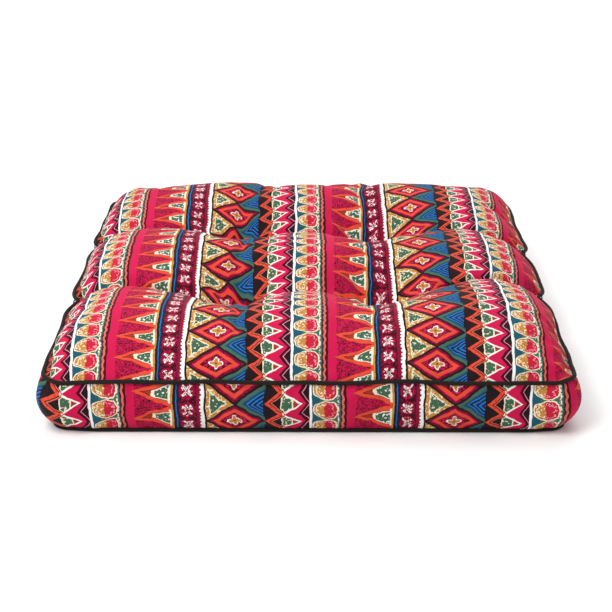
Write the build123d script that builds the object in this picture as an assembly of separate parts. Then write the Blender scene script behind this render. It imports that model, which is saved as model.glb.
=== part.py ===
from build123d import *
import math
import os

# A square tufted floor cushion in printed cotton: a top and a bottom panel joined by a boxing
# band, a piped seam along both edges, three layers of cotton wadding inside, and twine that
# ties the top down to the bottom at four tufts and gathers the side edges level with them.
# Millimetres. The origin is under the middle of the cushion, +Y points to its back, +Z up.

# Driving dimensions
SIDE = 596.0  # seam to seam, each way
SEAM_HEIGHT = 64.0  # middle of the top piping above the floor
CREST_HEIGHT = 112.0  # top of the three rolls
CORNER_RADIUS = 24.0  # of the seams, seen from above
CLOTH = 1.0  # thickness of the lined cotton cover
PIPING_RADIUS = 2.5
BOXING_BULGE = 6.5  # how far the band swells out past the seams
VALLEY_Y = 100.0  # the two valleys between the rolls, before and behind the middle
TUFT_COLUMNS = {"left": -91.0, "right": 76.0}
TUFT_ROWS = {"front": -VALLEY_Y, "back": VALLEY_Y}
TUFT_FLOOR = 42.0  # height of the cover at the bottom of a tuft

# Clearances
GAP = 0.5  # between a piece and its neighbour
FILL_GAP = 1.5  # between the wadding and the cover, measured straight up

# Seams and piping
HALF = SIDE / 2
PIPING_BORE = PIPING_RADIUS - 1.2  # inside of the wrapped bias strip
CORD_RADIUS = PIPING_BORE - 0.2
BOTTOM_SEAM_HEIGHT = PIPING_RADIUS + 0.1
PANEL_HALF = HALF - PIPING_RADIUS - GAP
BOXING_TOP = SEAM_HEIGHT - PIPING_RADIUS - GAP
BOXING_FOOT = BOTTOM_SEAM_HEIGHT + PIPING_RADIUS + GAP
THREAD_RADIUS = 0.3
THREAD_INSET = 2.4  # from the middle of the piping in to the line of stitches
THREAD_OFFSET = 3.6  # and up or down from it, towards the band
CLOSING_LENGTH = 300.0  # the part of the bottom seam left open for filling, sewn up by hand
CLOSING_OUTSET = 1.3

# The domed top
EDGE_RUN = 115.0  # how far in from the seam the top stops rising
VALLEY_DEPTH = 15.0
VALLEY_WIDTH = 30.0
DIMPLE_WIDTH = 34.0
GRID_STEP = 10.0

# Tufts
TWINE_RADIUS = 0.9
LEG_SPREAD = 3.0  # from the tuft's middle to each leg of its twine
LEG_HOLE_RADIUS = TWINE_RADIUS + 0.4
LEG_HOLE_REACH = 10.0  # above and below the tuft's floor, to pass right through the top
WADDING_HOLE_RADIUS = LEG_SPREAD + TWINE_RADIUS + 1.0
KNOT_RADIUS = 3.6
KNOT_WIDTH = 1.3  # how much wider than high a knot is
CUP_MOUTH_RADIUS = 24.0  # the hollow in the bottom panel that keeps a knot off the floor
CUP_TOP_RADIUS = 8.0
CUP_HEIGHT = 10.0

# Wadding layers, by the height of their joints
BOTTOM_LAYER_TOP = 14.0
CORE_TOP = 34.0
LAYER_GAP = 0.4

# Side ties
TIE_RADIUS = 1.0
TIE_LOOP_RADIUS = 8.5
TIE_INSET = 2.5  # from the seam in to the loop's middle
TIE_CLEARANCE = 0.5


def rounded_square(half, radius):
    """A flat square face with rounded corners."""
    return RectangleRounded(2 * half, 2 * half, radius)


def plate(half, low, high):
    """A slab with the cushion's outline, between two heights."""
    radius = CORNER_RADIUS - (HALF - half)
    return Pos(0, 0, low) * extrude(rounded_square(half, radius), high - low)


def around(profile):
    """Carries a profile, drawn in the XZ plane at the right-hand side, round all four sides."""
    middle = HALF - CORNER_RADIUS
    run = extrude(Pos(0, -middle, 0) * profile, 2 * middle, dir=(0, 1, 0))
    corner_axis = Axis((middle, middle, 0), (0, 0, 1))
    corner = revolve(Pos(0, middle, 0) * profile, corner_axis, 90)
    quarters = [Rot(0, 0, 90 * turn) * piece for turn in range(4) for piece in (run, corner)]
    return quarters[0].fuse(*quarters[1:])


def side_plane(height):
    """The plane for a profile whose own origin is on the seam line, at this height."""
    return Plane(origin=(HALF, 0, height), x_dir=(1, 0, 0), z_dir=(0, -1, 0))


def piping_ring(outer, inner, height):
    """A ring of round section round a seam, hollow if it has an inner radius."""
    section = Circle(outer)
    if inner:
        section = section - Circle(inner)
    return around(side_plane(height) * section)


def boxing_profile(inset, depth):
    """A face bounded outside by the band's swollen arc, moved in by inset, and depth wide."""
    middle = (BOXING_TOP + BOXING_FOOT) / 2
    top = BOXING_TOP - inset
    foot = BOXING_FOOT + inset
    arc = ThreePointArc((-inset, top), (BOXING_BULGE - inset, middle), (-inset, foot))
    back = -inset - depth
    inner = Polyline((-inset, foot), (back, foot), (back, top), (-inset, top))
    return side_plane(0) * make_face(arc + inner)


def crescent_profile():
    """The band's own section: a bowed strip one cloth thick."""
    middle = (BOXING_TOP + BOXING_FOOT) / 2
    outer = ThreePointArc((0, BOXING_TOP), (BOXING_BULGE, middle), (0, BOXING_FOOT))
    inner = ThreePointArc((-CLOTH, BOXING_TOP), (BOXING_BULGE - CLOTH, middle), (-CLOTH, BOXING_FOOT))
    ends = [Line((-CLOTH, height), (0, height)) for height in (BOXING_TOP, BOXING_FOOT)]
    return side_plane(0) * make_face(outer + inner + ends)


def edge_rise(distance):
    """From 0 at the seam to 1 where the top has reached its full height."""
    return math.sin(math.pi / 2 * max(0.0, min(1.0, distance / EDGE_RUN)))


def bell(distance, width):
    return math.exp(-((distance / width) ** 2))


def top_height(x, y):
    """Height of the cover's outer face: three rolls, two valleys and four deep tufts."""
    rise = edge_rise(PANEL_HALF - abs(x)) * edge_rise(PANEL_HALF - abs(y))
    height = SEAM_HEIGHT + (CREST_HEIGHT - SEAM_HEIGHT) * rise
    valley = sum(bell(y - row, VALLEY_WIDTH) for row in TUFT_ROWS.values())
    height -= VALLEY_DEPTH * valley * rise
    for column in TUFT_COLUMNS.values():
        for row in TUFT_ROWS.values():
            before_tuft = CREST_HEIGHT - VALLEY_DEPTH
            height -= (before_tuft - TUFT_FLOOR) * bell(math.hypot(x - column, y - row), DIMPLE_WIDTH)
    return height


def top_skin(half, drop, thickness):
    """The domed top as a sheet, lowered by drop and this thick, cut to the outline."""
    reach = HALF + GRID_STEP
    count = round(2 * reach / GRID_STEP) + 1
    lines = [-reach + 2 * reach * step / (count - 1) for step in range(count)]
    grid = [[(x, y, top_height(x, y) - drop) for y in lines] for x in lines]
    surface = Face.make_surface_from_array_of_points(grid)
    sheet = Solid.extrude(surface, Vector(0, 0, -thickness))
    return sheet & plate(half, 0, CREST_HEIGHT + GRID_STEP)


def tuft_places():
    for row_name, y in TUFT_ROWS.items():
        for column_name, x in TUFT_COLUMNS.items():
            yield f"{row_name}_{column_name}", x, y


def leg_holes(low, high):
    """Two round holes at every tuft, for the two legs of its twine."""
    hole = Cylinder(LEG_HOLE_RADIUS, high - low, align=(Align.CENTER, Align.CENTER, Align.MIN))
    return [
        Pos(x + side * LEG_SPREAD, y, low) * hole for _, x, y in tuft_places() for side in (-1, 1)
    ]


def wadding_holes(low, high):
    """One hole at every tuft, wide enough for both legs."""
    hole = Cylinder(WADDING_HOLE_RADIUS, high - low, align=(Align.CENTER, Align.CENTER, Align.MIN))
    return [Pos(x, y, low) * hole for _, x, y in tuft_places()]


def cup(grow):
    """The hollow under a tuft as a solid cone, grown by this much."""
    cone = Cone(
        CUP_MOUTH_RADIUS + grow,
        CUP_TOP_RADIUS + grow,
        CUP_HEIGHT + grow,
        align=(Align.CENTER, Align.CENTER, Align.MIN),
    )
    return cone


def cut(body, tools):
    """Cuts every tool out of a body, one after another."""
    for tool in tools:
        body = body - tool
    return body


def make_top_panel():
    skin = top_skin(PANEL_HALF, 0, CLOTH)
    skin = cut(skin, leg_holes(TUFT_FLOOR - LEG_HOLE_REACH, TUFT_FLOOR + LEG_HOLE_REACH))
    return cut(skin, side_tie_holes())


def make_bottom_panel():
    sheet = plate(PANEL_HALF, 0, CLOTH)
    for _, x, y in tuft_places():
        sheet = sheet + Pos(x, y, 0) * cup(CLOTH)
    for _, x, y in tuft_places():
        sheet = sheet - Pos(x, y, 0) * cup(0)
    return cut(sheet, leg_holes(CUP_HEIGHT - GAP, CUP_HEIGHT + 2 * CLOTH))


def make_boxing():
    """The band in two lengths, joined level with the back valley where the side ties hide it."""
    band = cut(around(crescent_profile()), side_tie_holes())
    reach = SIDE
    front_block = Pos(0, VALLEY_Y - GAP / 2 - reach, 0) * Box(2 * reach, 2 * reach, 2 * reach)
    back_block = Pos(0, VALLEY_Y + GAP / 2 + reach, 0) * Box(2 * reach, 2 * reach, 2 * reach)
    return band & front_block, band & back_block


def make_fill():
    """All the wadding as one mass, inside the cover on every side."""
    inset = CLOTH + GAP
    rim = around(boxing_profile(inset, CORNER_RADIUS / 2))
    block = plate(PANEL_HALF - GAP, CLOTH + GAP, BOXING_TOP - inset)
    reach = CREST_HEIGHT
    crown = top_skin(PANEL_HALF - GAP, CLOTH + FILL_GAP, reach)
    block = block & crown
    above = Pos(0, 0, CORE_TOP) * plate(PANEL_HALF - GAP, 0, reach)
    mass = rim + block + (crown & above)
    mass = cut(mass, [Pos(x, y, 0) * cup(CLOTH + GAP) for _, x, y in tuft_places()])
    mass = cut(mass, wadding_holes(0, CREST_HEIGHT))
    return cut(mass, side_tie_holes())


def make_wadding():
    """The mass split into its three layers."""
    mass = make_fill()
    joints = [0, BOTTOM_LAYER_TOP, CORE_TOP, CREST_HEIGHT]
    layers = []
    for low, high in zip(joints, joints[1:]):
        block = Box(2 * SIDE, 2 * SIDE, high - low - LAYER_GAP)
        layers.append(mass & Pos(0, 0, (low + high) / 2) * block)
    return layers


def make_tuft_twine():
    """A loop of twine: a stitch over the cover, two legs down, and a knot in the cup below."""
    knot_height = CUP_HEIGHT - KNOT_RADIUS - GAP
    stitch_height = TUFT_FLOOR + GAP + TWINE_RADIUS
    length = stitch_height - knot_height
    leg = Cylinder(TWINE_RADIUS, length, align=(Align.CENTER, Align.CENTER, Align.MIN))
    legs = [Pos(side * LEG_SPREAD, 0, knot_height) * leg for side in (-1, 1)]
    section = Pos(LEG_SPREAD, 0, 0) * Circle(TWINE_RADIUS)
    arch = Pos(0, 0, stitch_height) * revolve(section, Axis.Y, -180)
    knot = Pos(0, 0, knot_height) * scale(Sphere(KNOT_RADIUS), (KNOT_WIDTH, 1, 1))
    return knot + legs[0] + legs[1] + arch


def side_tie(thickness):
    """A ring of twine through the cover's edge and round its piping, lying across the seam."""
    ring = Rot(90, 0, 0) * Torus(TIE_LOOP_RADIUS, thickness)
    return Pos(HALF - TIE_INSET, 0, SEAM_HEIGHT) * ring


def side_tie_places():
    for row_name, y in TUFT_ROWS.items():
        for side_name, turn in (("right", 0), ("left", 180)):
            yield f"{row_name}_{side_name}", Pos(0, y, 0) * Rot(0, 0, turn)


def side_tie_holes():
    """What the cover and the wadding leave free for the ties."""
    return [place * side_tie(TIE_RADIUS + TIE_CLEARANCE) for _, place in side_tie_places()]


def make_seam_thread(height, side):
    """The line of stitches behind a piping, on the side of it that the band lies."""
    section = Pos(-THREAD_INSET, side * THREAD_OFFSET) * Circle(THREAD_RADIUS)
    return around(side_plane(height) * section)


def make_closing_thread():
    """The hand stitching along the back of the bottom seam, outside the band's foot."""
    run = Rot(0, 90, 0) * Cylinder(THREAD_RADIUS, CLOSING_LENGTH)
    return Pos(0, HALF + CLOSING_OUTSET, BOXING_FOOT) * run


def write(shape, name):
    export_step(shape, f"parts/{name}.step")


def main():
    os.makedirs("parts", exist_ok=True)
    write(make_top_panel(), "top_panel")
    write(make_bottom_panel(), "bottom_panel")
    boxing_front, boxing_back = make_boxing()
    write(boxing_front, "boxing_front")
    write(boxing_back, "boxing_back")
    for name, height in (("top", SEAM_HEIGHT), ("bottom", BOTTOM_SEAM_HEIGHT)):
        write(piping_ring(PIPING_RADIUS, PIPING_BORE, height), f"{name}_piping_cover")
        write(piping_ring(CORD_RADIUS, 0, height), f"{name}_piping_cord")
    for name, layer in zip(("bottom", "core", "top"), make_wadding()):
        write(layer, f"wadding_{name}")
    twine = make_tuft_twine()
    for name, x, y in tuft_places():
        write(Pos(x, y, 0) * twine, f"tuft_twine_{name}")
    for name, place in side_tie_places():
        write(place * side_tie(TIE_RADIUS), f"side_tie_{name}")
    write(make_seam_thread(SEAM_HEIGHT, -1), "top_seam_thread")
    write(make_seam_thread(BOTTOM_SEAM_HEIGHT, 1), "bottom_seam_thread")
    write(make_closing_thread(), "closing_seam_thread")


main()
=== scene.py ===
"""A square floor cushion in striped printed cotton: its cover, pipings, ties and wadding."""

import math

import bpy
import numpy as np
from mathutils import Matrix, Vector


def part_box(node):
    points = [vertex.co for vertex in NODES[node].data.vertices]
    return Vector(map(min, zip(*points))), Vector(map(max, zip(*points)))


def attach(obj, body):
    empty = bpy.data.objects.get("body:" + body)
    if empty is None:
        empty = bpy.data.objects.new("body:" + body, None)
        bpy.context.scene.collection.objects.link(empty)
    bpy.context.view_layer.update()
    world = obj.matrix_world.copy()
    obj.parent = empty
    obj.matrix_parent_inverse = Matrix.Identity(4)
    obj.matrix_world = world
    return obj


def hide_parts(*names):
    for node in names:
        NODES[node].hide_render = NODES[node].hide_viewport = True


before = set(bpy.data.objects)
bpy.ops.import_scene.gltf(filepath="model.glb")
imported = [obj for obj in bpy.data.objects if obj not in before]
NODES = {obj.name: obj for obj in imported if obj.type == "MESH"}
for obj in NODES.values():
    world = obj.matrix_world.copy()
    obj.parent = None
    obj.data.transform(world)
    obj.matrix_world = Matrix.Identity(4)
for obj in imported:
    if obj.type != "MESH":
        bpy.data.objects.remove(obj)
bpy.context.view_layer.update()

# ---------------------------------------------------------------- places, from the frame

MM = 0.001
PANEL_LOW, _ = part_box("top_panel")
PIPING_LOW, PIPING_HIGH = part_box("top_piping_cover")
FOOT_LOW, FOOT_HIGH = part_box("bottom_piping_cover")
PIPING_RADIUS = (PIPING_HIGH[2] - PIPING_LOW[2]) / 2
SEAM_HEIGHT = (PIPING_HIGH[2] + PIPING_LOW[2]) / 2
FOOT_HEIGHT = (FOOT_HIGH[2] + FOOT_LOW[2]) / 2
HALF = PIPING_HIGH[0] - PIPING_RADIUS  # from the middle to the seam
CORNER_RADIUS = 24 * MM  # of the seam's outline


def middle(node):
    """The middle of a node's box."""
    low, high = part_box(node)
    return [(a + b) / 2 for a, b in zip(low, high)]


TUFT_NAMES = [f"{row}_{side}" for row in ("front", "back") for side in ("left", "right")]
TUFTS = {name: middle(f"tuft_twine_{name}")[:2] for name in TUFT_NAMES}
TUFT_FLOOR = PANEL_LOW[2] + MM  # the cover's height at the bottom of a tuft
VALLEY_ROWS = {"front": TUFTS["front_left"][1], "back": TUFTS["back_left"][1]}


# ---------------------------------------------------------------- shader arithmetic

class Field:
    """A value that varies over a surface: a socket, with arithmetic that adds Math nodes."""

    def __init__(self, tree, socket):
        self.tree = tree
        self.socket = socket

    def math(self, operation, *others):
        """A new Math node on this value and the others, which are fields or plain numbers."""
        node = self.tree.nodes.new("ShaderNodeMath")
        node.operation = operation
        for slot, value in zip(node.inputs, (self, *others)):
            if isinstance(value, Field):
                self.tree.links.new(value.socket, slot)
            else:
                slot.default_value = value
        return Field(self.tree, node.outputs[0])

    def __add__(self, other):
        return self.math("ADD", other)

    def __sub__(self, other):
        return self.math("SUBTRACT", other)

    def __mul__(self, other):
        return self.math("MULTIPLY", other)

    def __truediv__(self, other):
        return self.math("DIVIDE", other)

    def __neg__(self):
        return self * -1

    def __rsub__(self, other):
        return self * -1 + other

    def abs(self):
        return self.math("ABSOLUTE")

    def least(self, other):
        return self.math("MINIMUM", other)

    def most(self, other):
        return self.math("MAXIMUM", other)

    def wrap(self, length):
        """The value's place in a repeat of this length, from 0."""
        return self.math("FLOORED_MODULO", length)

    def zigzag(self, pitch, start=0.0, end=1.0):
        """Straight lines between start, at the ends of each repeat, and end, in its middle."""
        return self.math("PINGPONG", pitch / 2) * ((end - start) * 2 / pitch) + start

    def above(self, limit):
        return self.math("GREATER_THAN", limit)

    def below(self, limit):
        return self.math("LESS_THAN", limit)

    def between(self, low, high):
        return self.above(low) * self.below(high)

    def hypot(self, other):
        return (self * self + other * other).math("SQRT")


class Cloth:
    """A fabric material being drawn: its node tree, its shader and the tools to paint it."""

    def __init__(self, name):
        self.material = bpy.data.materials.new(name)
        self.material.use_nodes = True
        self.tree = self.material.node_tree
        self.shader = self.tree.nodes["Principled BSDF"]

    def new(self, kind, **settings):
        node = self.tree.nodes.new(kind)
        for name, value in settings.items():
            setattr(node, name, value)
        return node

    def link(self, source, target):
        self.tree.links.new(source, target)

    def field(self, socket):
        return Field(self.tree, socket)

    def surface(self):
        """Place on the flat cloth in millimetres: across the stripes, and along them."""
        return self.two_of(self.new("ShaderNodeUVMap", uv_map="cloth").outputs[0], "X", "Y")

    def solid_place(self):
        """Place in the frame in millimetres, for a CAD node: from left to right, and up."""
        return self.two_of(self.new("ShaderNodeTexCoord").outputs["Object"], "X", "Z")

    def two_of(self, place, *axes):
        """Two coordinates of a place, in millimetres."""
        parts = self.new("ShaderNodeSeparateXYZ")
        self.link(place, parts.inputs[0])
        return [self.field(parts.outputs[axis]) / MM for axis in axes]

    def noise(self, across, along, size, detail=2.0, seed=0.0):
        """Smooth noise about 0, with lumps of this size in millimetres."""
        place = self.new("ShaderNodeCombineXYZ")
        self.link((across / size).socket, place.inputs[0])
        self.link((along / size).socket, place.inputs[1])
        place.inputs[2].default_value = seed
        noise = self.new("ShaderNodeTexNoise")
        noise.inputs["Scale"].default_value = 1.0
        noise.inputs["Detail"].default_value = detail
        self.link(place.outputs[0], noise.inputs["Vector"])
        return self.field(noise.outputs["Fac"]) - 0.5

    def mix(self, under, over, share):
        """One colour over another by this share. Each colour is a socket or an rgb."""
        node = self.new("ShaderNodeMix", data_type="RGBA")
        for slot, value in ((node.inputs[6], under), (node.inputs[7], over)):
            if isinstance(value, tuple):
                slot.default_value = (*value, 1.0)
            else:
                self.link(value, slot)
        self.link(share.socket, node.inputs[0])
        return node.outputs[2]


def linear(*seen):
    """A colour as seen, 0 to 255, as the light it reflects."""
    share = np.array(seen) / 255
    light = np.where(share <= 0.04045, share / 12.92, ((share + 0.055) / 1.055) ** 2.4)
    return tuple(light.tolist())


INK = {
    "black": linear(26, 20, 22),
    "plum": linear(62, 8, 26),
    "maroon": linear(88, 10, 36),
    "crimson": linear(202, 20, 74),
    "deep_crimson": linear(138, 10, 50),
    "orange": linear(226, 74, 52),
    "salmon": linear(212, 104, 80),
    "tulip_red": linear(190, 34, 46),
    "rust": linear(156, 54, 34),
    "mustard": linear(190, 134, 58),
    "cream": linear(238, 226, 196),
    "white": linear(244, 241, 238),
    "pink": linear(232, 150, 168),
    "sage": linear(66, 104, 90),
    "green": linear(60, 98, 74),
    "teal": linear(22, 84, 102),
    "navy": linear(10, 34, 70),
    "blue": linear(30, 112, 184),
}

# ---------------------------------------------------------------- the print

REPEAT = 246.0  # width of the print's repeat across the cloth, in millimetres
PHASE = 145.0  # from the cloth's middle line back to the start of a repeat

# Where each band of motifs starts and ends across the repeat, in millimetres.
DIAMOND_BAND = (6.2, 73.8)
ZIGZAG_BAND = (73.8, 122.8)
TULIP_BAND = (125.2, 156.7)
WAVY_LINE = (158.9, 161.3)
CRIMSON_STRIPE = (164.1, 174.0)  # before the spikes and under their points
SPIKE_BAND = (170.5, 215.0)
BLUE_LINE = (220.2, 221.3)
ROUNDEL_BAND = (223.6, 241.8)

# The plain stripes of one repeat: how far each reaches, and its ink.
STRIPES = [
    (3.9, "white"), (DIAMOND_BAND[1], "black"), (ZIGZAG_BAND[1], "black"), (TULIP_BAND[0], "white"),
    (TULIP_BAND[1], "teal"), (CRIMSON_STRIPE[0], "plum"), (SPIKE_BAND[0], "crimson"),
    (SPIKE_BAND[1], "deep_crimson"), (216.6, "mustard"), (218.6, "black"), (222.1, "navy"),
    (ROUNDEL_BAND[0], "black"), (ROUNDEL_BAND[1], "plum"), (REPEAT, "deep_crimson"),
]

# How far apart the motifs come along the cloth, in millimetres.
DIAMOND_PITCH = 42.0
ZIGZAG_PITCH = 21.6
TULIP_PITCH = 22.6
WAVE_PITCH = 9.0
SPIKE_PITCH = 28.3
ROUNDEL_PITCH = 19.2
DIAMOND_SLOPE = 17.6  # from a share of the diamond's reach to the distance from its outline


class Print:
    """Draws the printed stripes and motifs, from the plain stripes up. Lengths are in millimetres."""

    def __init__(self, cloth):
        self.cloth = cloth
        across, along = cloth.surface()
        coarse = cloth.noise(across, along, 26.0)
        fine = cloth.noise(across, along, 5.0, seed=3.0)
        wobble = coarse * 5.0 + fine * 1.6
        drift = cloth.noise(across, along, 34.0, seed=7.0) * 7.0
        drift = drift + cloth.noise(across, along, 6.0, seed=9.0) * 1.6
        self.raw = (across, along)
        self.x = (across + PHASE + wobble).wrap(REPEAT)
        self.y = along + drift
        self.speckle = cloth.noise(across, along, 3.1, seed=11.0)
        self.blotch = cloth.noise(across, along, 3.4, seed=17.0)
        self.zone = None  # where the motif being drawn lies
        self.colour = self.stripes()

    def stripes(self):
        ramp = self.cloth.new("ShaderNodeValToRGB")
        ramp.color_ramp.interpolation = "CONSTANT"
        stops = ramp.color_ramp.elements
        start = 0.0
        for index, (reach, ink) in enumerate(STRIPES):
            stop = stops[index] if index < 2 else stops.new(start)
            stop.position = start
            stop.color = (*INK[ink], 1.0)
            start = reach / REPEAT
        self.cloth.link((self.x / REPEAT).socket, ramp.inputs[0])
        return ramp.outputs[0]

    def paint(self, ink, where=1.0):
        """Ink over what is drawn so far, where this is 1 within the present zone of the repeat."""
        self.colour = self.cloth.mix(self.colour, INK[ink], self.zone * where)

    def speckled(self, ink, density, where=1.0):
        """Ink in small specks: more of them the nearer density is to 0.5."""
        self.paint(ink, self.speckle.above(0.5 - density) * where)

    def edge_dashes(self):
        """Black dashes down the left edge of the white stripe."""
        dash = self.y.wrap(4.6).below(2.0)
        self.zone = self.x.between(-1.0, 1.3)
        self.paint("black", dash)

    def diamonds(self):
        """A column of diamonds, with triangles left of each waist and chevrons right of it."""
        centre, half_wide, half_high = 39.6, 33.5, DIAMOND_PITCH / 2
        self.zone = self.x.between(*DIAMOND_BAND)
        across = self.x - centre
        height = self.y.zigzag(DIAMOND_PITCH)
        reach = across.abs() / half_wide + (1.0 - height)  # 0 in the middle and 1 on the outline
        inside = reach.below(1.0)
        self.paint("maroon", inside * reach.below(0.93))
        self.speckled("deep_crimson", 0.5, inside * reach.below(0.91))
        self.paint("crimson", inside * reach.between(0.75, 0.80))
        self.paint("orange", inside * reach.below(0.75))
        self.paint("plum", inside * reach.below(0.54))
        self.paint("crimson", inside * reach.below(0.50))
        self.speckled("maroon", 0.5, inside * reach.below(0.50))
        self.flower(inside, across, (height - 1.0) * -half_high)
        outside = reach.above(1.0)
        from_outline = (reach - 1.0) * DIAMOND_SLOPE
        self.left_triangles(outside * across.below(0.0), from_outline)
        self.chevrons(outside * across.above(0.0), across, from_outline)

    def flower(self, inside, across, along):
        """A four-petalled mustard flower in a white outline."""
        radius = across.hypot(along * 1.15)
        turn = along.math("ARCTAN2", across)
        petals = (turn * 4.0).math("COSINE") * 1.9 + 6.6
        petals = petals + self.blotch * 6.0
        self.paint("white", inside * (radius - petals).below(0.0))
        self.paint("mustard", inside * (radius - petals + self.speckle * 2.0).below(-1.4))
        self.paint("rust", inside * radius.below(1.3))

    def left_triangles(self, half, from_outline):
        """Mustard, cream and speckled green, each inset in the one before."""
        inset = from_outline.least(self.x - DIAMOND_BAND[0])
        self.paint("mustard", half * inset.above(0.9))
        self.speckled("cream", 0.42, half * inset.above(0.9))
        self.paint("cream", half * inset.above(4.6))
        self.paint("green", half * (inset + self.blotch * 5.0).above(5.8))
        self.speckled("cream", 0.40, half * inset.above(5.8))

    def chevrons(self, half, across, inset):
        """A sage and a teal border, then blue chevrons on navy."""
        self.paint("sage", half * inset.above(0.9))
        self.paint("teal", half * inset.above(4.0))
        core = half * inset.above(5.6)
        self.paint("navy", core)
        self.paint("blue", core * (inset - 6.4).wrap(3.3).below(1.5) * inset.above(6.4))
        self.paint("black", core * across.above(32.5))

    def zigzags(self):
        """Orange and white zigzags that mirror each other, with a teardrop in each cell between."""
        self.zone = self.x.between(*ZIGZAG_BAND)
        along = self.y + 2.4
        from_orange = self.x - along.zigzag(ZIGZAG_PITCH, 75.0, 89.8)
        from_white = self.x - along.zigzag(ZIGZAG_PITCH, 113.8, 92.9)
        from_pink = self.x - along.zigzag(ZIGZAG_PITCH, 119.4, 110.0)
        inset = (from_orange - 8.5).least(-2.2 - from_white).least(self.x - 91.5) + self.blotch * 1.6
        cell = inset.above(0.0)
        green = cell * inset.above(1.3) * self.x.below(103.0)
        self.paint("rust", cell)
        self.paint("cream", cell * self.x.below(104.5))
        self.paint("green", green)
        self.speckled("cream", 0.40, green)
        self.paint("crimson", from_white.above(0.0))
        self.paint("plum", from_pink.above(0.0))
        self.paint("pink", from_pink.between(4.0, 5.0))
        self.paint("black", from_pink.above(5.6))
        self.paint("white", from_white.between(-2.4, 1.0))
        self.paint("orange", from_orange.between(-1.4, 3.6))
        self.paint("salmon", from_orange.between(5.2, 7.0))
        dots = self.y.wrap(4.0).below(0.9)
        self.paint("plum", from_orange.between(1.2, 2.2) * dots)

    def tulips(self):
        """Squarish tulips on their sides in cream outlines, mustard to the left and red to the right."""
        self.zone = self.x.between(*TULIP_BAND)
        self.paint("sage", (self.x + self.blotch * 5.0).above(135.0))
        self.speckled("white", 0.33, self.x.above(140.0))
        across = (self.x - 140.6) / 13.8
        along = ((self.y + 7.8).wrap(TULIP_PITCH) - TULIP_PITCH / 2) / 10.9
        pinch = (-across).most(0.0) * 0.5 + 1.0
        squareness = 3.4
        bulge = across.abs().math("POWER", squareness) + (along * pinch).abs().math("POWER", squareness)
        bulge = bulge + self.blotch * 0.7  # 0 in the middle and 1 on the outline
        self.paint("cream", bulge.below(1.0))
        body = bulge.below(0.70)
        self.paint("mustard", body)
        self.speckled("cream", 0.42, body)
        self.speckled("rust", 0.48, body * self.blotch.above(0.04))
        red = body * (self.x + self.blotch * 6.0).above(140.0)
        self.paint("tulip_red", red)
        self.speckled("crimson", 0.46, red)
        swirl = (bulge + self.blotch * 0.4 - 0.3).abs().below(0.07)
        self.paint("pink", red * swirl * self.speckle.above(-0.06))
        self.paint("cream", body * self.x.below(138.5) * swirl)
        hem = (self.x + self.blotch * 4.0 - 155.0).abs().below(0.7)
        self.paint("cream", hem * self.speckle.above(-0.05))

    def wavy_line(self):
        wave = (self.y * (2 * math.pi / WAVE_PITCH)).math("SINE") * 0.5
        self.zone = (self.x + wave).between(*WAVY_LINE)
        self.paint("salmon")

    def spikes(self):
        """Orange bands that run to a point, with a leaf in each."""
        self.zone = self.x.between(*CRIMSON_STRIPE)
        self.paint("crimson")
        self.zone = self.x.between(CRIMSON_STRIPE[1], SPIKE_BAND[1])
        self.speckled("crimson", 0.52)
        self.speckled("plum", 0.42)
        self.zone = self.x.between(*SPIKE_BAND)
        inward = self.x - (self.y - 2.0).zigzag(SPIKE_PITCH, 170.0, 213.5)
        self.paint("black", inward.above(-1.2))
        self.paint("orange", inward.above(0.0))
        dots = self.y.wrap(3.4).below(0.9) * inward.between(1.4, 2.6)
        self.paint("plum", dots)
        inward -= (self.x - 182.0) * 0.18  # the orange widens away from its point
        self.paint("black", inward.above(10.6))
        self.paint("rust", inward.above(12.4))
        leaf = (inward - 12.4).least((self.x - 193.0) * 0.9 + self.blotch * 4.0)
        self.paint("cream", leaf.above(0.0))
        self.paint("green", leaf.above(3.4))
        self.speckled("white", 0.42, leaf.above(3.4))
        self.paint("cream", self.x.above(212.6) * inward.above(5.0))

    def blue_line(self):
        self.zone = (self.x + self.blotch * 1.2).between(*BLUE_LINE)
        self.paint("blue")

    def roundels(self):
        """Crimson discs with a crossed white flower, on speckled maroon."""
        low, high = ROUNDEL_BAND
        self.zone = self.x.between(low, high)
        self.speckled("deep_crimson", 0.42)
        across = self.x - (low + high) / 2
        along = self.y.wrap(ROUNDEL_PITCH) - ROUNDEL_PITCH / 2
        radius = across.hypot(along)
        disc = (radius + self.blotch * 1.5).below(8.6)
        self.paint("deep_crimson", disc)
        self.speckled("crimson", 0.42, disc)
        from_diagonal = across.abs().math("SUBTRACT", along.abs()).abs()
        petal = disc * (radius + self.blotch * 6.0).between(1.2, 6.6)
        self.speckled("white", 0.44, petal * self.blotch.above(0.0))
        self.paint("white", petal * (from_diagonal + self.blotch * 3.0).below(1.3))
        self.paint("rust", petal * from_diagonal.below(0.5) * radius.below(4.6))


# ---------------------------------------------------------------- the fabrics

def printed_cotton():
    cloth = Cloth("printed_cotton")
    work = Print(cloth)
    work.edge_dashes()
    work.diamonds()
    work.zigzags()
    work.tulips()
    work.wavy_line()
    work.spikes()
    work.blue_line()
    work.roundels()
    across, along = work.raw
    worn = cloth.noise(across, along, 60.0, detail=4.0, seed=21.0) * 0.12 + 0.09
    colour = cloth.mix(work.colour, INK["plum"], worn.most(0.0))
    cloth.link(colour, cloth.shader.inputs["Base Color"])
    weave(cloth, across, along, thread=0.55, strength=0.25)
    return cloth.material


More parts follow.
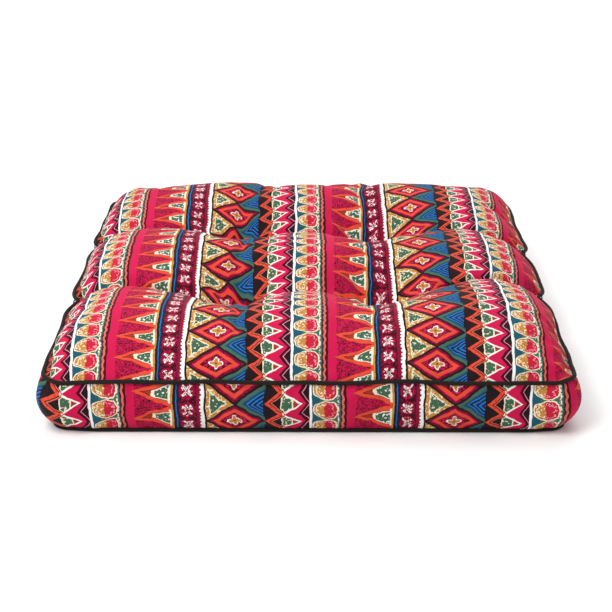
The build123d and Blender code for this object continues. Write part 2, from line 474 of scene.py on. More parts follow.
def weave(cloth, across, along, thread, strength):
    """A plain weave's bump, with threads this far apart in millimetres, and a soft sheen."""
    warp = (across * (math.pi / thread)).math("SINE")
    weft = (along * (math.pi / thread)).math("SINE")
    slub = cloth.noise(across, along * 0.2, 1.6, detail=3.0, seed=31.0)
    height = warp * weft + slub * 2.0
    bump = cloth.new("ShaderNodeBump")
    bump.inputs["Strength"].default_value = strength
    bump.inputs["Distance"].default_value = 0.2 * MM
    cloth.link(height.socket, bump.inputs["Height"])
    cloth.link(bump.outputs[0], cloth.shader.inputs["Normal"])
    rough = slub * 0.15 + 0.85
    cloth.link(rough.socket, cloth.shader.inputs["Roughness"])
    cloth.shader.inputs["Specular IOR Level"].default_value = 0.12
    cloth.shader.inputs["Sheen Weight"].default_value = 0.04
    cloth.shader.inputs["Sheen Roughness"].default_value = 0.4


def plain_cotton(name, colour, thread=0.6, on_node=False):
    """Dyed cotton, a little uneven. on_node is for a CAD node, which has no place on a flat cloth."""
    cloth = Cloth(name)
    across, along = cloth.solid_place() if on_node else cloth.surface()
    shade = cloth.noise(across, along, 18.0, detail=5.0, seed=5.0) * 0.5 + 0.5
    dark = tuple(0.6 * part for part in colour)
    cloth.link(cloth.mix(dark, colour, shade), cloth.shader.inputs["Base Color"])
    weave(cloth, across, along, thread, strength=0.4)
    return cloth.material


def make_fabrics():
    """Every material, by the name of the slot that it fills."""
    return {
        "printed_cotton": printed_cotton(),
        "plain_cotton": plain_cotton("plain_cotton", INK["plum"]),
        "piping_cotton": plain_cotton("piping_cotton", linear(38, 32, 30)),
        "piping_cord": plain_cotton("piping_cord", linear(225, 220, 205)),
        "cotton_wadding": plain_cotton("cotton_wadding", linear(232, 226, 210), thread=3.0),
        "tuft_twine": plain_cotton("tuft_twine", linear(60, 30, 34), on_node=True),
        "tie_twine": plain_cotton("tie_twine", linear(34, 28, 28)),
        "sewing_thread": plain_cotton("sewing_thread", linear(40, 32, 32)),
    }


# ---------------------------------------------------------------- meshes

def make_piece(name, shape, fabrics, slot, node, levels=0, thickness=0.0):
    """A piece of the cushion that stands for a CAD node. shape is its points, its faces and each
    point's place on its flat cloth."""
    points, faces, cloth_place = shape
    mesh = bpy.data.meshes.new(name)
    mesh.from_pydata([tuple(point) for point in points], [], faces)
    layer = mesh.uv_layers.new(name="cloth")
    corners = np.empty(len(mesh.loops), dtype=np.int32)
    mesh.loops.foreach_get("vertex_index", corners)
    layer.data.foreach_set("uv", np.asarray(cloth_place, dtype=np.float32)[corners].ravel())
    mesh.polygons.foreach_set("use_smooth", np.ones(len(mesh.polygons), dtype=bool))
    mesh.materials.append(fabrics[slot])
    piece = bpy.data.objects.new(name, mesh)
    bpy.context.collection.objects.link(piece)
    if levels:
        subdivision = piece.modifiers.new("smooth", "SUBSURF")
        subdivision.levels = levels
        subdivision.render_levels = levels
        subdivision.uv_smooth = "NONE"
    if thickness:
        solid = piece.modifiers.new("cloth", "SOLIDIFY")
        solid.thickness = thickness
        solid.offset = -1.0
    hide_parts(node)
    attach(piece, "root")
    return piece


def dress(node, material):
    """Gives a CAD node this material."""
    piece = NODES[node]
    if not piece.material_slots:
        piece.data.materials.append(material)
    for slot in piece.material_slots:
        slot.link = "OBJECT"
        slot.material = material


def grid_faces(cells):
    """The faces of a square grid of points, seen from above."""
    row = cells + 1
    return [
        (i * row + j, (i + 1) * row + j, (i + 1) * row + j + 1, i * row + j + 1)
        for i in range(cells)
        for j in range(cells)
    ]


def turned_over(faces):
    """The same faces, seen from the other side."""
    return [(face[0], *face[:0:-1]) for face in faces]


def grid_rim(cells):
    """A grid's edge points, once round: down the left, along the front, up the right, along the back."""
    row = cells + 1
    left = list(range(cells, 0, -1))
    front = [i * row for i in range(cells)]
    right = [cells * row + j for j in range(cells)]
    back = [i * row + cells for i in range(cells, 0, -1)]
    return left + front + right + back


def strip_faces(rings):
    """The faces between rows of points. rings holds the points' numbers, row by row."""
    above, below = rings[:-1], rings[1:]
    corners = np.stack([above[:, :-1], below[:, :-1], below[:, 1:], above[:, 1:]], axis=-1)
    return corners.reshape(-1, 4).tolist()


def unit(vectors):
    return vectors / np.linalg.norm(vectors, axis=1, keepdims=True)


def distances(path):
    """How far along a path each of its points is."""
    steps = np.linalg.norm(np.diff(path, axis=0), axis=1)
    return np.concatenate([[0.0], np.cumsum(steps)])


def tube_mesh(path, radius, sides, closed=True, across=None):
    """A tube along a path, as points, faces and cloth places. radius is one value, or one for each
    point of the path. across is a direction across the path at each point, level if not given."""
    count = len(path)
    ahead = np.roll(path, -1, axis=0) - np.roll(path, 1, axis=0)
    if not closed:
        ahead[0] = path[1] - path[0]
        ahead[-1] = path[-1] - path[-2]
    ahead = unit(ahead)
    if across is None:
        side = unit(np.cross(ahead, [0.0, 0.0, 1.0]))
    else:
        side = unit(across - ahead * np.sum(across * ahead, axis=1, keepdims=True))
    above = np.cross(side, ahead)
    turn = np.linspace(0, 2 * np.pi, sides, endpoint=False)
    ring = np.cos(turn)[None, :, None] * side[:, None] + np.sin(turn)[None, :, None] * above[:, None]
    radii = np.broadcast_to(radius, count)
    points = (path[:, None] + ring * radii[:, None, None]).reshape(-1, 3)
    faces = []
    for k in range(count if closed else count - 1):
        here, there = k * sides, (k + 1) % count * sides
        for m in range(sides):
            m2 = (m + 1) % sides
            faces.append((here + m, there + m, there + m2, here + m2))
    if not closed:
        faces.append(tuple(range(sides)))
        faces.append(tuple(range((count - 1) * sides, count * sides))[::-1])
    round_tube = np.tile(turn * np.mean(radii), count)
    return points, faces, np.stack([round_tube, np.repeat(distances(path), sides)], axis=1)


# ---------------------------------------------------------------- the cover's shape

CELLS = 110  # of the panel's mesh, each way
BAND_ROWS = 12  # of the boxing's mesh, from seam to seam
ROLL_HEIGHT = 101 * MM
ROLL_ROUNDNESS = 2.3  # how steeply the top leaves a seam, where 1 would be a straight slope
FRONT_RUN = 110 * MM  # how far in from the front seam the top stops rising
BACK_RUN = 62 * MM
SIDE_RUN = 55 * MM
VALLEY_DEPTH = 27 * MM
VALLEY_WIDTH = 21 * MM
VALLEY_STRAIGHT = 120 * MM  # how far from the middle a valley starts to turn to its side ties
TUFT_RADIUS = 6 * MM
TUFT_REACH = 20 * MM

# Where the rolls are fuller or slacker than the rest, and by how much, in millimetres.
SPOTS = [
    (-210, -170, -8), (0, -165, 5), (195, -175, 6), (-190, 15, 7),
    (-130, 225, 6), (0, 225, 5), (130, 225, 6),
]
SPOT_WIDTH = 85 * MM
SPOT_DEPTH = 60 * MM

# Where a side tie gathers the edge at the end of a valley: how far back, and how far in it pulls.
PINCHES = {
    ("front", "left"): (-84 * MM, 13 * MM),
    ("front", "right"): (-70 * MM, 12 * MM),
    ("back", "left"): (106 * MM, 9 * MM),
    ("back", "right"): (76 * MM, 11 * MM),
}
OUTWARD = {"left": -1, "right": 1}

BULGE = 5 * MM  # how far the band stands out between its seams
CORNER_BULGE = 5 * MM  # and how much further at a corner
FOOT_IN = 5 * MM  # how far the lower seam lies inside the upper one
FOOT_CORNER_IN = 4 * MM  # and how much further at a corner
CORNER_START = 60 * MM  # how far from the corners they start to differ from the sides
CORNER_BLEND = 50 * MM


def smooth_step(value):
    value = np.clip(value, 0, 1)
    return value * value * (3 - 2 * value)


def bell(distance, width):
    return np.exp(-((distance / width) ** 2))


def crease(distance, width):
    return np.exp(-np.abs(distance) / width)


def ripple(place, size, seed):
    """A smooth, irregular wave, always the same for a seed. size is about how far it goes each way,
    and about how far apart its crests are."""
    height, pitch = size
    draw = np.random.default_rng(seed)
    total = np.zeros_like(place)
    for stretch in (0.61, 1.0, 1.53):
        phase = draw.uniform(0, 2 * np.pi)
        total += np.sin(2 * np.pi * place / (pitch * stretch) + phase)
    return height * total / 2


def round_corners(x, y):
    """Pulls the corners of a square grid in to the seam's rounded outline."""
    inner = HALF - CORNER_RADIUS
    over_x = np.clip((np.abs(x) - inner) / CORNER_RADIUS, 0, None)
    over_y = np.clip((np.abs(y) - inner) / CORNER_RADIUS, 0, None)
    round_x = over_x * np.sqrt(1 - over_y**2 / 2)
    round_y = over_y * np.sqrt(1 - over_x**2 / 2)
    new_x = np.where(over_x > 0, np.sign(x) * (inner + round_x * CORNER_RADIUS), x)
    new_y = np.where(over_y > 0, np.sign(y) * (inner + round_y * CORNER_RADIUS), y)
    return new_x, new_y


def rise(distance, run):
    """How far the panel has risen at this distance in from a seam: 0 to 1."""
    return 1 - (1 - np.clip(distance / run, 0, 1)) ** ROLL_ROUNDNESS


def valley_line(x, row):
    """Where a valley runs: straight past its tufts, then to where it meets each side seam."""
    ends = np.where(x < 0, PINCHES[row, "left"][0], PINCHES[row, "right"][0])
    share = smooth_step((np.abs(x) - VALLEY_STRAIGHT) / (HALF - VALLEY_STRAIGHT))
    return VALLEY_ROWS[row] + (ends - VALLEY_ROWS[row]) * share


def tied_height(x, y):
    """The panel's height, filled and tied: three rolls across it, with a deep hollow at each tuft."""
    share = rise(HALF - np.abs(x), SIDE_RUN) * rise(HALF + y, FRONT_RUN) * rise(HALF - y, BACK_RUN)
    height = SEAM_HEIGHT + (ROLL_HEIGHT - SEAM_HEIGHT) * share
    for spot_x, spot_y, extra in SPOTS:
        near = bell(x - spot_x * MM, SPOT_WIDTH) * bell(y - spot_y * MM, SPOT_DEPTH)
        height = height + extra * MM * near * share
    for row in VALLEY_ROWS:
        height = height - VALLEY_DEPTH * crease(y - valley_line(x, row), VALLEY_WIDTH) * share
    for place in TUFTS.values():
        away = np.maximum(np.hypot(x - place[0], y - place[1]) - TUFT_RADIUS, 0)
        height = height + (TUFT_FLOOR - height) * np.exp(-away / TUFT_REACH)
    return height


def square_grid():
    """The panels' grid before their corners are rounded."""
    line = np.linspace(-HALF, HALF, CELLS + 1)
    return np.meshgrid(line, line, indexing="ij")


class Cover:
    """The cover's mesh: the top panel's grid, then rings of points down the boxing to the lower seam.
    start holds its points as tied, and points holds them as filled."""

    def __init__(self):
        x, y = round_corners(*square_grid())
        grid = np.stack([x, y, tied_height(x, y)], axis=-1)
        self.panel_place = self.flat_panel(grid)
        self.panel_count = (CELLS + 1) ** 2
        self.rim = np.array(grid_rim(CELLS))
        self.edge = grid.reshape(-1, 3)[self.rim]
        self.outward = self.outward_from(self.edge)
        self.start = np.concatenate([grid.reshape(-1, 3)] + self.band_rings())
        self.points = self.start.copy()

    @staticmethod
    def flat_panel(grid):
        """Each panel point's place on the flat cloth, as measured along one line each way."""
        along = distances(grid[CELLS // 2])
        across = distances(grid[:, CELLS // 6])
        across = across - across[-1] / 2
        return np.stack(np.meshgrid(across, along, indexing="ij"), axis=-1).reshape(-1, 2)

    def band_rings(self):
        """The boxing's points, ring by ring from below the top seam to the lower seam."""
        to_corner = np.minimum(np.abs(self.edge[:, 0]), np.abs(self.edge[:, 1])) - (HALF - CORNER_START)
        at_corner = smooth_step(to_corner / CORNER_BLEND)
        foot_in = FOOT_IN + FOOT_CORNER_IN * at_corner
        bulge = BULGE + CORNER_BULGE * at_corner
        rings = []
        for row in range(1, BAND_ROWS + 1):
            share = row / BAND_ROWS
            out = bulge * math.sin(math.pi * share) - foot_in * share**3
            ring = self.edge + self.outward * out[:, None]
            ring[:, 2] = SEAM_HEIGHT + (FOOT_HEIGHT - SEAM_HEIGHT) * share
            rings.append(ring)
        return rings

    @staticmethod
    def outward_from(loop):
        """The level direction straight out from each point of a line round the cushion."""
        ahead = np.roll(loop, -1, axis=0) - np.roll(loop, 1, axis=0)
        return unit(np.stack([ahead[:, 1], -ahead[:, 0], np.zeros(len(loop))], axis=1))

    def ring(self, row):
        """The numbers of the points in one ring of the boxing. Ring 0 is the top seam."""
        if row == 0:
            return self.rim
        first = self.panel_count + (row - 1) * len(self.rim)
        return np.arange(first, first + len(self.rim))

    def band_faces(self):
        rings = np.stack([self.ring(row) for row in range(BAND_ROWS + 1)])
        return strip_faces(np.concatenate([rings, rings[:, :1]], axis=1))


# ---------------------------------------------------------------- tying and filling the cover

# How firmly the cover is held, from 0, free, to 1, fixed.
TUFT_HOLD = 1.0
FOOT_HOLD = 1.0
RIM_HOLD = 0.7
VALLEY_HOLD = 0.15

VALLEY_GATHER = (3 * MM, 26 * MM)  # the gathers along a valley: their depth and spacing
GATHER_SEEDS = {"front": 5, "back": 4}
VALLEY_CREASE = 9 * MM  # how wide a band is held down along a valley
VALLEY_END = 20 * MM  # how far from the side seam that fades out
SEAM_SWAY = (1 * MM, 210 * MM)  # how far the top seam strays sideways, and over what length
SEAM_LIFT = (1.4 * MM, 170 * MM)  # and up and down
SIDE_MARGIN = 2 * MM  # how near the side seams' line still counts as on them
PINCH_WIDTH = 13 * MM  # of the part of the seam that a side tie draws in
TIE_LIFT = 0.35  # how far a side tie lifts the seam, as a share of its pull
ROLL_SWELL = 5 * MM  # how far the seam stands out beside a tie
SWELL_WIDTH = 45 * MM

FRAMES = 36
TIED_BY = 14  # the frame at which the ties are tight
MOST_MOVE = 40 * MM  # a limit on how far the filling moves any point
CLOTH_SETTINGS = {
    "quality": 6,
    "mass": 0.3,
    "tension_stiffness": 15,
    "compression_stiffness": 15,
    "shear_stiffness": 5,
    "bending_stiffness": 0.4,
    "shrink_min": -0.04,  # the cloth is cut this much larger than its tied shape
    "use_pressure": True,
    "uniform_pressure_force": 14.0,
    "vertex_group_mass": "held",
    "pin_stiffness": 1.0,
    "air_damping": 4.0,
}


def tied_places(cover):
    """Where the ties and seams would hold each point of the cover, and how firmly."""
    target = cover.start.copy()
    hold = np.zeros(len(target))
    x, y = cover.start[:, 0], cover.start[:, 1]
    panel = np.arange(len(target)) < cover.panel_count

    for row in VALLEY_ROWS:
        inside = panel * smooth_step((HALF - np.abs(x)) / VALLEY_END)
        near = bell(y - valley_line(x, row), VALLEY_CREASE) * inside
        target[:, 2] += ripple(x, VALLEY_GATHER, seed=GATHER_SEEDS[row]) * near
        hold = np.maximum(hold, VALLEY_HOLD * near * (near > 0.2))

    tie_top_seam(cover, target, hold)

    for place in TUFTS.values():
        disc = (np.hypot(x - place[0], y - place[1]) < TUFT_RADIUS) & panel
        target[disc, 2] = TUFT_FLOOR
        hold[disc] = TUFT_HOLD

    hold[cover.ring(BAND_ROWS)] = FOOT_HOLD
    return target, hold


def tie_top_seam(cover, target, hold):
    """Lets the top seam stray a little, and draws it in at the side ties."""
    rim, edge = cover.rim, cover.edge
    sway = ripple(edge[:, 0] + 1.7 * edge[:, 1], SEAM_SWAY, seed=5)
    lift = ripple(edge[:, 0] - 1.3 * edge[:, 1], SEAM_LIFT, seed=6)
    target[rim] += cover.outward * sway[:, None]
    target[rim, 2] += lift
    hold[rim] = RIM_HOLD
    for (_, side), (tie_y, pull) in PINCHES.items():
        sign = OUTWARD[side]
        beside = at_side(edge, sign)
        near = bell(edge[:, 1] - tie_y, PINCH_WIDTH) * beside
        about = bell(edge[:, 1] - tie_y, SWELL_WIDTH) * beside
        target[rim, 0] -= sign * pull * near
        target[rim, 0] += sign * ROLL_SWELL * about * (1 - near)
        target[rim, 2] += TIE_LIFT * pull * near
        hold[rim] = np.maximum(hold[rim], near)


def at_side(edge, sign):
    """Which of the seam's points lie along its left side, for -1, or its right side, for 1."""
    return sign * edge[:, 0] > HALF - SIDE_MARGIN


def fill_cover(cover):
    """Blows the cover up against its ties as a cloth, and keeps where it comes to rest."""
    target, hold = tied_places(cover)
    dummy = make_filling(cover, target, hold)
    modifier = dummy.modifiers.new("filling", "CLOTH")
    for name, value in CLOTH_SETTINGS.items():
        setattr(modifier.settings, name, value)
    modifier.settings.effector_weights.gravity = 0.0
    modifier.collision_settings.use_collision = False
    modifier.collision_settings.use_self_collision = False
    modifier.point_cache.frame_start = 1
    modifier.point_cache.frame_end = FRAMES

    scene = bpy.context.scene
    for frame_number in range(1, FRAMES + 1):
        scene.frame_set(frame_number)
    shaped = dummy.evaluated_get(bpy.context.evaluated_depsgraph_get()).to_mesh()
    found = np.empty(len(cover.start) * 3, dtype=np.float32)
    shaped.vertices.foreach_get("co", found)
    scene.frame_set(1)
    bpy.data.objects.remove(dummy)

    move = found.reshape(-1, 3).astype(float) - cover.start
    far = np.linalg.norm(move, axis=1)
    keep = np.where(hold < 1, np.minimum(1, MOST_MOVE / np.maximum(far, MM)), 1)
    cover.points = cover.start + move * keep[:, None]


def make_filling(cover, target, hold):
    """The mesh that is simulated: the whole cover, with a shape key that draws its ties tight."""
    mesh = bpy.data.meshes.new("filling")
    points = [tuple(point) for point in cover.start]
    mesh.from_pydata(points, [], grid_faces(CELLS) + cover.band_faces())
    dummy = bpy.data.objects.new("filling", mesh)
    bpy.context.collection.objects.link(dummy)
    dummy.shape_key_add(name="filled")
    tied = dummy.shape_key_add(name="tied")
    tied.data.foreach_set("co", target.astype(np.float32).ravel())
    tied.value = 0.0
    tied.keyframe_insert("value", frame=1)
    tied.value = 1.0
    tied.keyframe_insert("value", frame=TIED_BY)
    group = dummy.vertex_groups.new(name="held")
    steps = np.round(hold, 2)
    for level in np.unique(steps[steps > 0]):
        members = np.flatnonzero(steps == level)
        group.add([int(member) for member in members], float(level), "REPLACE")
    return dummy


# ---------------------------------------------------------------- finishing the cover's shape

SEAM_PASSES = 3  # how many times the top seam is evened
SIDE_GATHER = (1.3 * MM, 19 * MM)  # the depth and spacing of the gathers along the side seams
SIDE_GATHER_IN = 9 * MM  # how far in from the seam they are deepest
SIDE_GATHER_SPREAD = 13 * MM
END_GATHER = (0.7 * MM, 23 * MM)  # the same for those along the front and back seams
END_GATHER_IN = 8 * MM
END_GATHER_SPREAD = 11 * MM
VALLEY_PUCKER = (2.8 * MM, 21 * MM)  # the depth and spacing of those that cross a valley
PUCKER_SPREAD = 17 * MM
FOLD_DEPTH = 4.2 * MM  # of the folds that run out from a tuft
FOLD_REACH = 22 * MM  # where they are deepest
TUFT_BLEND = 8 * MM  # over how far the folds begin, outside a tuft
SEAM_BLEND = 12 * MM  # and the gathers, inside the seam


def even_seam(cover):
    """Takes the small kinks out of the top seam."""
    for _ in range(SEAM_PASSES):
        loop = cover.points[cover.rim]
        cover.points[cover.rim] = (np.roll(loop, 1, axis=0) + 2 * loop + np.roll(loop, -1, axis=0)) / 4


def pucker(cover):
    """Small gathers along the seam and across the valleys, and folds out from each tuft."""
    x, y = cover.start[: cover.panel_count, 0], cover.start[: cover.panel_count, 1]
    to_side = HALF - np.abs(x)
    to_end = HALF - np.abs(y)
    gathers = ripple(y, SIDE_GATHER, seed=21) * bell(to_side - SIDE_GATHER_IN, SIDE_GATHER_SPREAD)
    gathers += ripple(x, END_GATHER, seed=22) * bell(to_end - END_GATHER_IN, END_GATHER_SPREAD)
    for row in VALLEY_ROWS:
        gathers += ripple(x, VALLEY_PUCKER, seed=23) * bell(y - valley_line(x, row), PUCKER_SPREAD)
    folds = np.zeros_like(x)
    nearest = np.full_like(x, HALF)
    for number, place in enumerate(TUFTS.values()):
        away = np.hypot(x - place[0], y - place[1])
        turn = np.arctan2(y - place[1], x - place[0])
        wave = np.cos(7 * turn + 2.1 * number) + 0.5 * np.cos(4 * turn - number)
        folds += FOLD_DEPTH * wave * (away / FOLD_REACH) * np.exp(1 - away / FOLD_REACH)
        nearest = np.minimum(nearest, away)
    clear_of_tufts = smooth_step((nearest - TUFT_RADIUS) / TUFT_BLEND)
    clear_of_seam = smooth_step(np.minimum(to_side, to_end) / SEAM_BLEND)
    cover.points[: cover.panel_count, 2] += gathers * clear_of_seam + folds * clear_of_tufts


# ---------------------------------------------------------------- the cover's pieces

SHEET = 1 * MM  # the cloth's thickness
BOXING_SHIFT = 23 * MM  # how much further right the print lies on the band than on the panel
BOXING_START = 21 * MM  # a diamond's middle meets the top seam on the band
BOXING_STRETCH = 0.898  # the length of print on the band, as a share of its height
BASE_HEIGHT = 1.1 * MM  # of the underside's inner face above the floor
BASE_EDGE = 9 * MM  # how wide its rise to the lower seam is
BASE_PULL = 8.9 * MM  # how far a tuft draws it up
BASE_PULL_START = 7 * MM  # how far from a tuft's middle it starts to fall again
BASE_PULL_REACH = 17 * MM  # and over how far
BASE_GATHER = (0.5 * MM, 24 * MM)  # the depth and spacing of the gathers inside its edge
BASE_GATHER_SPREAD = 14 * MM


def make_top_panel(cover, fabrics):
    """The printed panel, in its finished shape."""
    shape = (cover.points[: cover.panel_count], grid_faces(CELLS), cover.panel_place)
    piece = make_piece(
        "top_panel_cotton", shape, fabrics, "printed_cotton", "top_panel", levels=1, thickness=SHEET
    )


def band_place(cover):
    """Each band point's place on its flat cloth: along the band from the middle of the front, and down it."""
    along = distances(cover.edge)
    front_middle = CELLS + CELLS // 2
    along = along - along[front_middle] - BOXING_SHIFT
    place = []
    for row in range(BAND_ROWS + 1):
        down = BOXING_START + row / BAND_ROWS * (SEAM_HEIGHT - FOOT_HEIGHT) * BOXING_STRETCH
        place.append(np.stack([along, np.full(len(along), down)], axis=1))
    return np.concatenate(place)


def make_boxing(cover, fabrics):
    """The band, in two strips that meet level with the back valley."""
    rows = range(BAND_ROWS + 1)
    points = np.concatenate([cover.points[cover.ring(row)] for row in rows])
    place = band_place(cover)
    count = len(cover.rim)
    in_front = cover.edge[:, 1] < VALLEY_ROWS["back"]
    for name, wanted in (("boxing_front", in_front), ("boxing_back", ~in_front)):
        order = np.flatnonzero(wanted)
        breaks = np.flatnonzero(np.diff(order) > 1)
        if len(breaks):
            order = np.roll(order, -(breaks[0] + 1))
        if name == "boxing_back":
            order = np.concatenate([[(order[0] - 1) % count], order, [(order[-1] + 1) % count]])
        numbers = np.concatenate([row * count + order for row in rows])
        faces = strip_faces(np.arange(len(numbers)).reshape(len(rows), -1))
        shape = (points[numbers], faces, place[numbers])
        piece = make_piece(
            f"{name}_cotton", shape, fabrics, "printed_cotton", name, levels=1, thickness=SHEET
        )


def make_bottom_panel(cover, fabrics):
    """The underside: its edge follows the lower seam, and the tufts draw it up."""
    flat_x, flat_y = square_grid()
    x, y = round_corners(flat_x, flat_y)
    turn = np.arctan2(flat_y, flat_x)
    edge_turn = turn.ravel()[cover.rim]
    order = np.argsort(edge_turn)
    moved = (cover.points[cover.ring(BAND_ROWS)] - cover.edge)[order]
    reach = np.maximum(np.abs(flat_x), np.abs(flat_y)) / HALF
    x = x + np.interp(turn, edge_turn[order], moved[:, 0], period=2 * np.pi) * reach**3
    y = y + np.interp(turn, edge_turn[order], moved[:, 1], period=2 * np.pi) * reach**3
    inset = HALF - np.maximum(np.abs(flat_x), np.abs(flat_y))
    height = BASE_HEIGHT + (FOOT_HEIGHT - BASE_HEIGHT) * (1 - smooth_step(inset / BASE_EDGE))
    for place in TUFTS.values():
        away = np.hypot(x - place[0], y - place[1])
        height = height + BASE_PULL * (1 - smooth_step((away - BASE_PULL_START) / BASE_PULL_REACH))
    gather = ripple(x + y, BASE_GATHER, seed=12) * bell(inset, BASE_GATHER_SPREAD)
    points = np.stack([x, y, height + np.abs(gather)], axis=-1).reshape(-1, 3)
    cloth_place = np.stack([flat_x, flat_y], axis=-1).reshape(-1, 2)
    shape = (points, turned_over(grid_faces(CELLS)), cloth_place)
    piece = make_piece(
        "bottom_panel_cotton", shape, fabrics, "plain_cotton", "bottom_panel", thickness=SHEET
    )


# ---------------------------------------------------------------- pipings, stitches and ties

STRIP_RADIUS = 2.4 * MM  # of the piping's outside
STRIP_UNEVEN = (0.072 * MM, 31 * MM)  # how much the radius varies, and over what length
STRIP_SIDES = 12
CORD_SHARE = 0.6  # the piping cord's radius, as a share of the strip's
CORD_SIDES = 8
PIPING_OUT = 1 * MM  # how far the piping stands out from its seam
TOP_PIPING_UP = 1.2 * MM
THREAD_RADIUS = 0.3 * MM
THREAD_SIDES = 6
THREAD_IN = 2.4 * MM  # how far behind the seam the machine stitches lie
THREAD_SHIFT = 3.6 * MM  # how far from the piping's line, into the band
STITCH_OUT = 0.5 * MM  # how far the closing stitches stand out from the band
STITCH_SLANT = 1 * MM  # how far each of them runs up and down
TWINE_RADIUS = 0.8 * MM
TWINE_SIDES = 8
TIE_LOOP = 6.5 * MM  # radius of the loop round the seam
TIE_TWIST = 0.6 * MM
TIE_POINTS = 40


def finer(loop):
    """A closed line with three points for every one, on a smooth curve through them."""
    before, after, beyond = (np.roll(loop, shift, axis=0) for shift in (1, -1, -2))
    slope = after - before
    bend = 2 * before - 5 * loop + 4 * after - beyond
    twist = 3 * loop - before - 3 * after + beyond
    between = [loop + 0.5 * (slope * t + bend * t**2 + twist * t**3) for t in (0, 1 / 3, 2 / 3)]
    return np.stack(between, axis=1).reshape(-1, 3)


def seam_loop(cover, row, out, up):
    """The line of a seam, moved out from the cushion and up from it."""
    loop = cover.points[cover.ring(row)]
    loop = loop + cover.outward_from(loop) * out
    loop[:, 2] += up
    return finer(loop)


def make_piping(cover, name, row, up, fabrics):
    """A bias strip wrapped round a cord, all round a seam."""
    path = seam_loop(cover, row, PIPING_OUT, up)
    radii = STRIP_RADIUS + ripple(distances(path), STRIP_UNEVEN, seed=8)
    strip = tube_mesh(path, radii, STRIP_SIDES)
    piece = make_piece(
        f"{name}_piping_strip", strip, fabrics, "piping_cotton", f"{name}_piping_cover"
    )
    cord = tube_mesh(path, CORD_SHARE * radii, CORD_SIDES)
    make_piece(f"{name}_piping_filler", cord, fabrics, "piping_cord", f"{name}_piping_cord")


def make_seam_thread(cover, name, row, up, fabrics):
    """The machine stitching behind a piping."""
    thread = tube_mesh(seam_loop(cover, row, -THREAD_IN, up), THREAD_RADIUS, THREAD_SIDES)
    make_piece(f"{name}_seam_stitches", thread, fabrics, "sewing_thread", f"{name}_seam_thread")


def make_closing_stitches(cover, fabrics):
    """Slanting hand stitches just above the lower seam at the back, where the cover was closed."""
    low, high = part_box("closing_seam_thread")
    x, y = cover.edge[:, 0], cover.edge[:, 1]
    closed = (y > HALF - MM) & (x > low[0]) & (x < high[0])
    line = cover.points[cover.ring(BAND_ROWS - 1)]
    path = (line + cover.outward * STITCH_OUT)[closed]
    path[::2, 2] += STITCH_SLANT
    path[1::2, 2] -= STITCH_SLANT
    thread = tube_mesh(path, THREAD_RADIUS, THREAD_SIDES, closed=False)
    make_piece("closing_stitches", thread, fabrics, "sewing_thread", "closing_seam_thread")


def make_side_ties(cover, fabrics):
    """A loop of twine round the seam at the end of each valley."""
    seam = cover.points[cover.rim]
    turn = np.linspace(0, 2 * np.pi, TIE_POINTS, endpoint=False)
    for (row, side), (tie_y, _) in PINCHES.items():
        sign = OUTWARD[side]
        away = np.where(at_side(cover.edge, sign), np.abs(cover.edge[:, 1] - tie_y), HALF)
        centre = seam[np.argmin(away)] - [sign * PIPING_OUT, 0, 0]
        round_seam = [TIE_LOOP * np.cos(turn), TIE_TWIST * np.sin(2 * turn), TIE_LOOP * np.sin(turn)]
        loop = centre + np.stack(round_seam, axis=1)
        twine = tube_mesh(loop, TWINE_RADIUS, TWINE_SIDES, across=loop - centre)
        name = f"side_tie_{row}_{side}"
        make_piece(f"{name}_loop", twine, fabrics, "tie_twine", name)


# ---------------------------------------------------------------- wadding

SLAB_CELLS = 55  # of a wadding layer's mesh, each way
UNDER_COVER = 4 * MM  # from the cover down to the wadding
THINNEST_TOP = 36 * MM  # the lowest that the top layer's upper face goes

# How far each layer's edge lies inside the seam, and the heights of its lower and upper faces.
# The top layer's upper face follows the cover.
LAYERS = {
    "wadding_bottom": (20 * MM, 2.4 * MM, 13.8 * MM),
    "wadding_core": (17 * MM, 14.2 * MM, 33.8 * MM),
    "wadding_top": (17 * MM, 34.2 * MM, None),
}


def lowest_nearby(heights, passes):
    """A square grid with each height lowered to the least of those up to this many cells away."""
    count = len(heights)
    for _ in range(passes):
        for axis in (0, 1):
            first, last = (np.take(heights, [end], axis) for end in (0, -1))
            wider = np.concatenate([first, heights, last], axis)
            heights = np.minimum.reduce([np.take(wider, range(k, k + count), axis) for k in range(3)])
    return heights


def slab(inset, low, upper):
    """A closed layer of wadding, flat below, with this height or grid of heights above."""
    line = np.linspace(-HALF, HALF, SLAB_CELLS + 1)
    x, y = round_corners(*np.meshgrid(line, line, indexing="ij"))
    share = (HALF - inset) / HALF
    x, y = x * share, y * share
    top = np.stack([x, y, np.broadcast_to(upper, x.shape)], axis=-1).reshape(-1, 3)
    bottom = top * [1, 1, 0] + [0, 0, low]
    count = len(top)
    faces = grid_faces(SLAB_CELLS)
    faces += [tuple(count + corner for corner in face) for face in turned_over(faces)]
    rim = grid_rim(SLAB_CELLS)
    for here, there in zip(rim, rim[1:] + rim[:1]):
        faces.append((here, count + here, count + there, there))
    points = np.concatenate([top, bottom])
    return points, faces, points[:, :2]


def make_wadding(cover, fabrics):
    """The three layers of wadding, the top one filling the cover as it ends up."""
    panel = cover.points[: cover.panel_count, 2].reshape(CELLS + 1, CELLS + 1)
    step = CELLS // SLAB_CELLS
    under_cover = lowest_nearby(panel, passes=3)[::step, ::step] - UNDER_COVER
    for name, (inset, low, upper) in LAYERS.items():
        if upper is None:
            upper = np.maximum(under_cover, THINNEST_TOP)
        piece = make_piece(f"{name}_batt", slab(inset, low, upper), fabrics, "cotton_wadding", name)


# ---------------------------------------------------------------- stage

FLOOR_REACH = 6.0
FLOOR_GREY = 0.92
WORLD_STRENGTH = 0.56

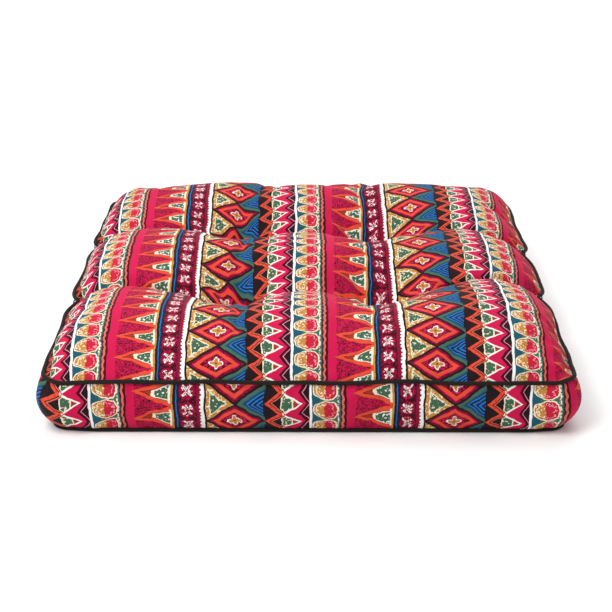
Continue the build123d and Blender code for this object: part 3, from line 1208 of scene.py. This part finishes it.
# Each softbox: where it hangs, how wide it is and its power in watts. It faces the cushion.
SOFTBOXES = {
    "key": ((-0.9, -0.8, 1.6), 1.1, 27),
    "top": ((0.5, 0.7, 2.1), 1.6, 14),
    "background": ((0.0, 3.4, 2.6), 3.0, 70),
}
CAMERA_PLACE = (0.0025, -1.597, 0.736)
CAMERA_DOWN = math.radians(24)
CAMERA_TURN = math.radians(0.24)
LENS = 77.4  # and its sensor, both in millimetres
SENSOR = 36


def make_stage():
    """A pale floor, soft light and the camera."""
    make_floor()
    world = bpy.data.worlds.new("studio")
    world.use_nodes = True
    background = world.node_tree.nodes["Background"]
    background.inputs["Color"].default_value = (1, 1, 1, 1)
    background.inputs["Strength"].default_value = WORLD_STRENGTH
    bpy.context.scene.world = world
    for name, (place, size, power) in SOFTBOXES.items():
        add_softbox(name, place, size, power)
    camera = bpy.data.objects.new("camera", bpy.data.cameras.new("camera"))
    camera.data.lens = LENS
    camera.data.sensor_width = SENSOR
    camera.location = CAMERA_PLACE
    camera.rotation_euler = (math.pi / 2 - CAMERA_DOWN, 0, CAMERA_TURN)
    bpy.context.collection.objects.link(camera)
    bpy.context.scene.camera = camera
    bpy.context.scene.view_settings.view_transform = "Standard"


def make_floor():
    corners = [(x * FLOOR_REACH, y * FLOOR_REACH, 0) for x, y in ((-1, -1), (1, -1), (1, 1), (-1, 1))]
    mesh = bpy.data.meshes.new("floor")
    mesh.from_pydata(corners, [], [(0, 1, 2, 3)])
    floor = bpy.data.objects.new("floor", mesh)
    bpy.context.collection.objects.link(floor)
    material = bpy.data.materials.new("floor")
    material.use_nodes = True
    shader = material.node_tree.nodes["Principled BSDF"]
    shader.inputs["Base Color"].default_value = (FLOOR_GREY, FLOOR_GREY, FLOOR_GREY, 1)
    shader.inputs["Roughness"].default_value = 0.9
    shader.inputs["Specular IOR Level"].default_value = 0.1
    mesh.materials.append(material)


def add_softbox(name, place, size, power):
    light = bpy.data.lights.new(name, "AREA")
    light.size = size
    light.energy = power
    lamp = bpy.data.objects.new(name, light)
    lamp.location = place
    lamp.rotation_euler = (-Vector(place)).to_track_quat("-Z", "Y").to_euler()
    bpy.context.collection.objects.link(lamp)


def main():
    make_stage()
    cover = Cover()
    fill_cover(cover)
    even_seam(cover)
    pucker(cover)
    fabrics = make_fabrics()
    make_top_panel(cover, fabrics)
    make_boxing(cover, fabrics)
    make_bottom_panel(cover, fabrics)
    make_piping(cover, "top", 0, TOP_PIPING_UP, fabrics)
    make_piping(cover, "bottom", BAND_ROWS, 0, fabrics)
    make_seam_thread(cover, "top", 0, -THREAD_SHIFT, fabrics)
    make_seam_thread(cover, "bottom", BAND_ROWS, THREAD_SHIFT, fabrics)
    make_closing_stitches(cover, fabrics)
    make_wadding(cover, fabrics)
    make_side_ties(cover, fabrics)
    for name in TUFT_NAMES:
        dress(f"tuft_twine_{name}", fabrics["tuft_twine"])


main()
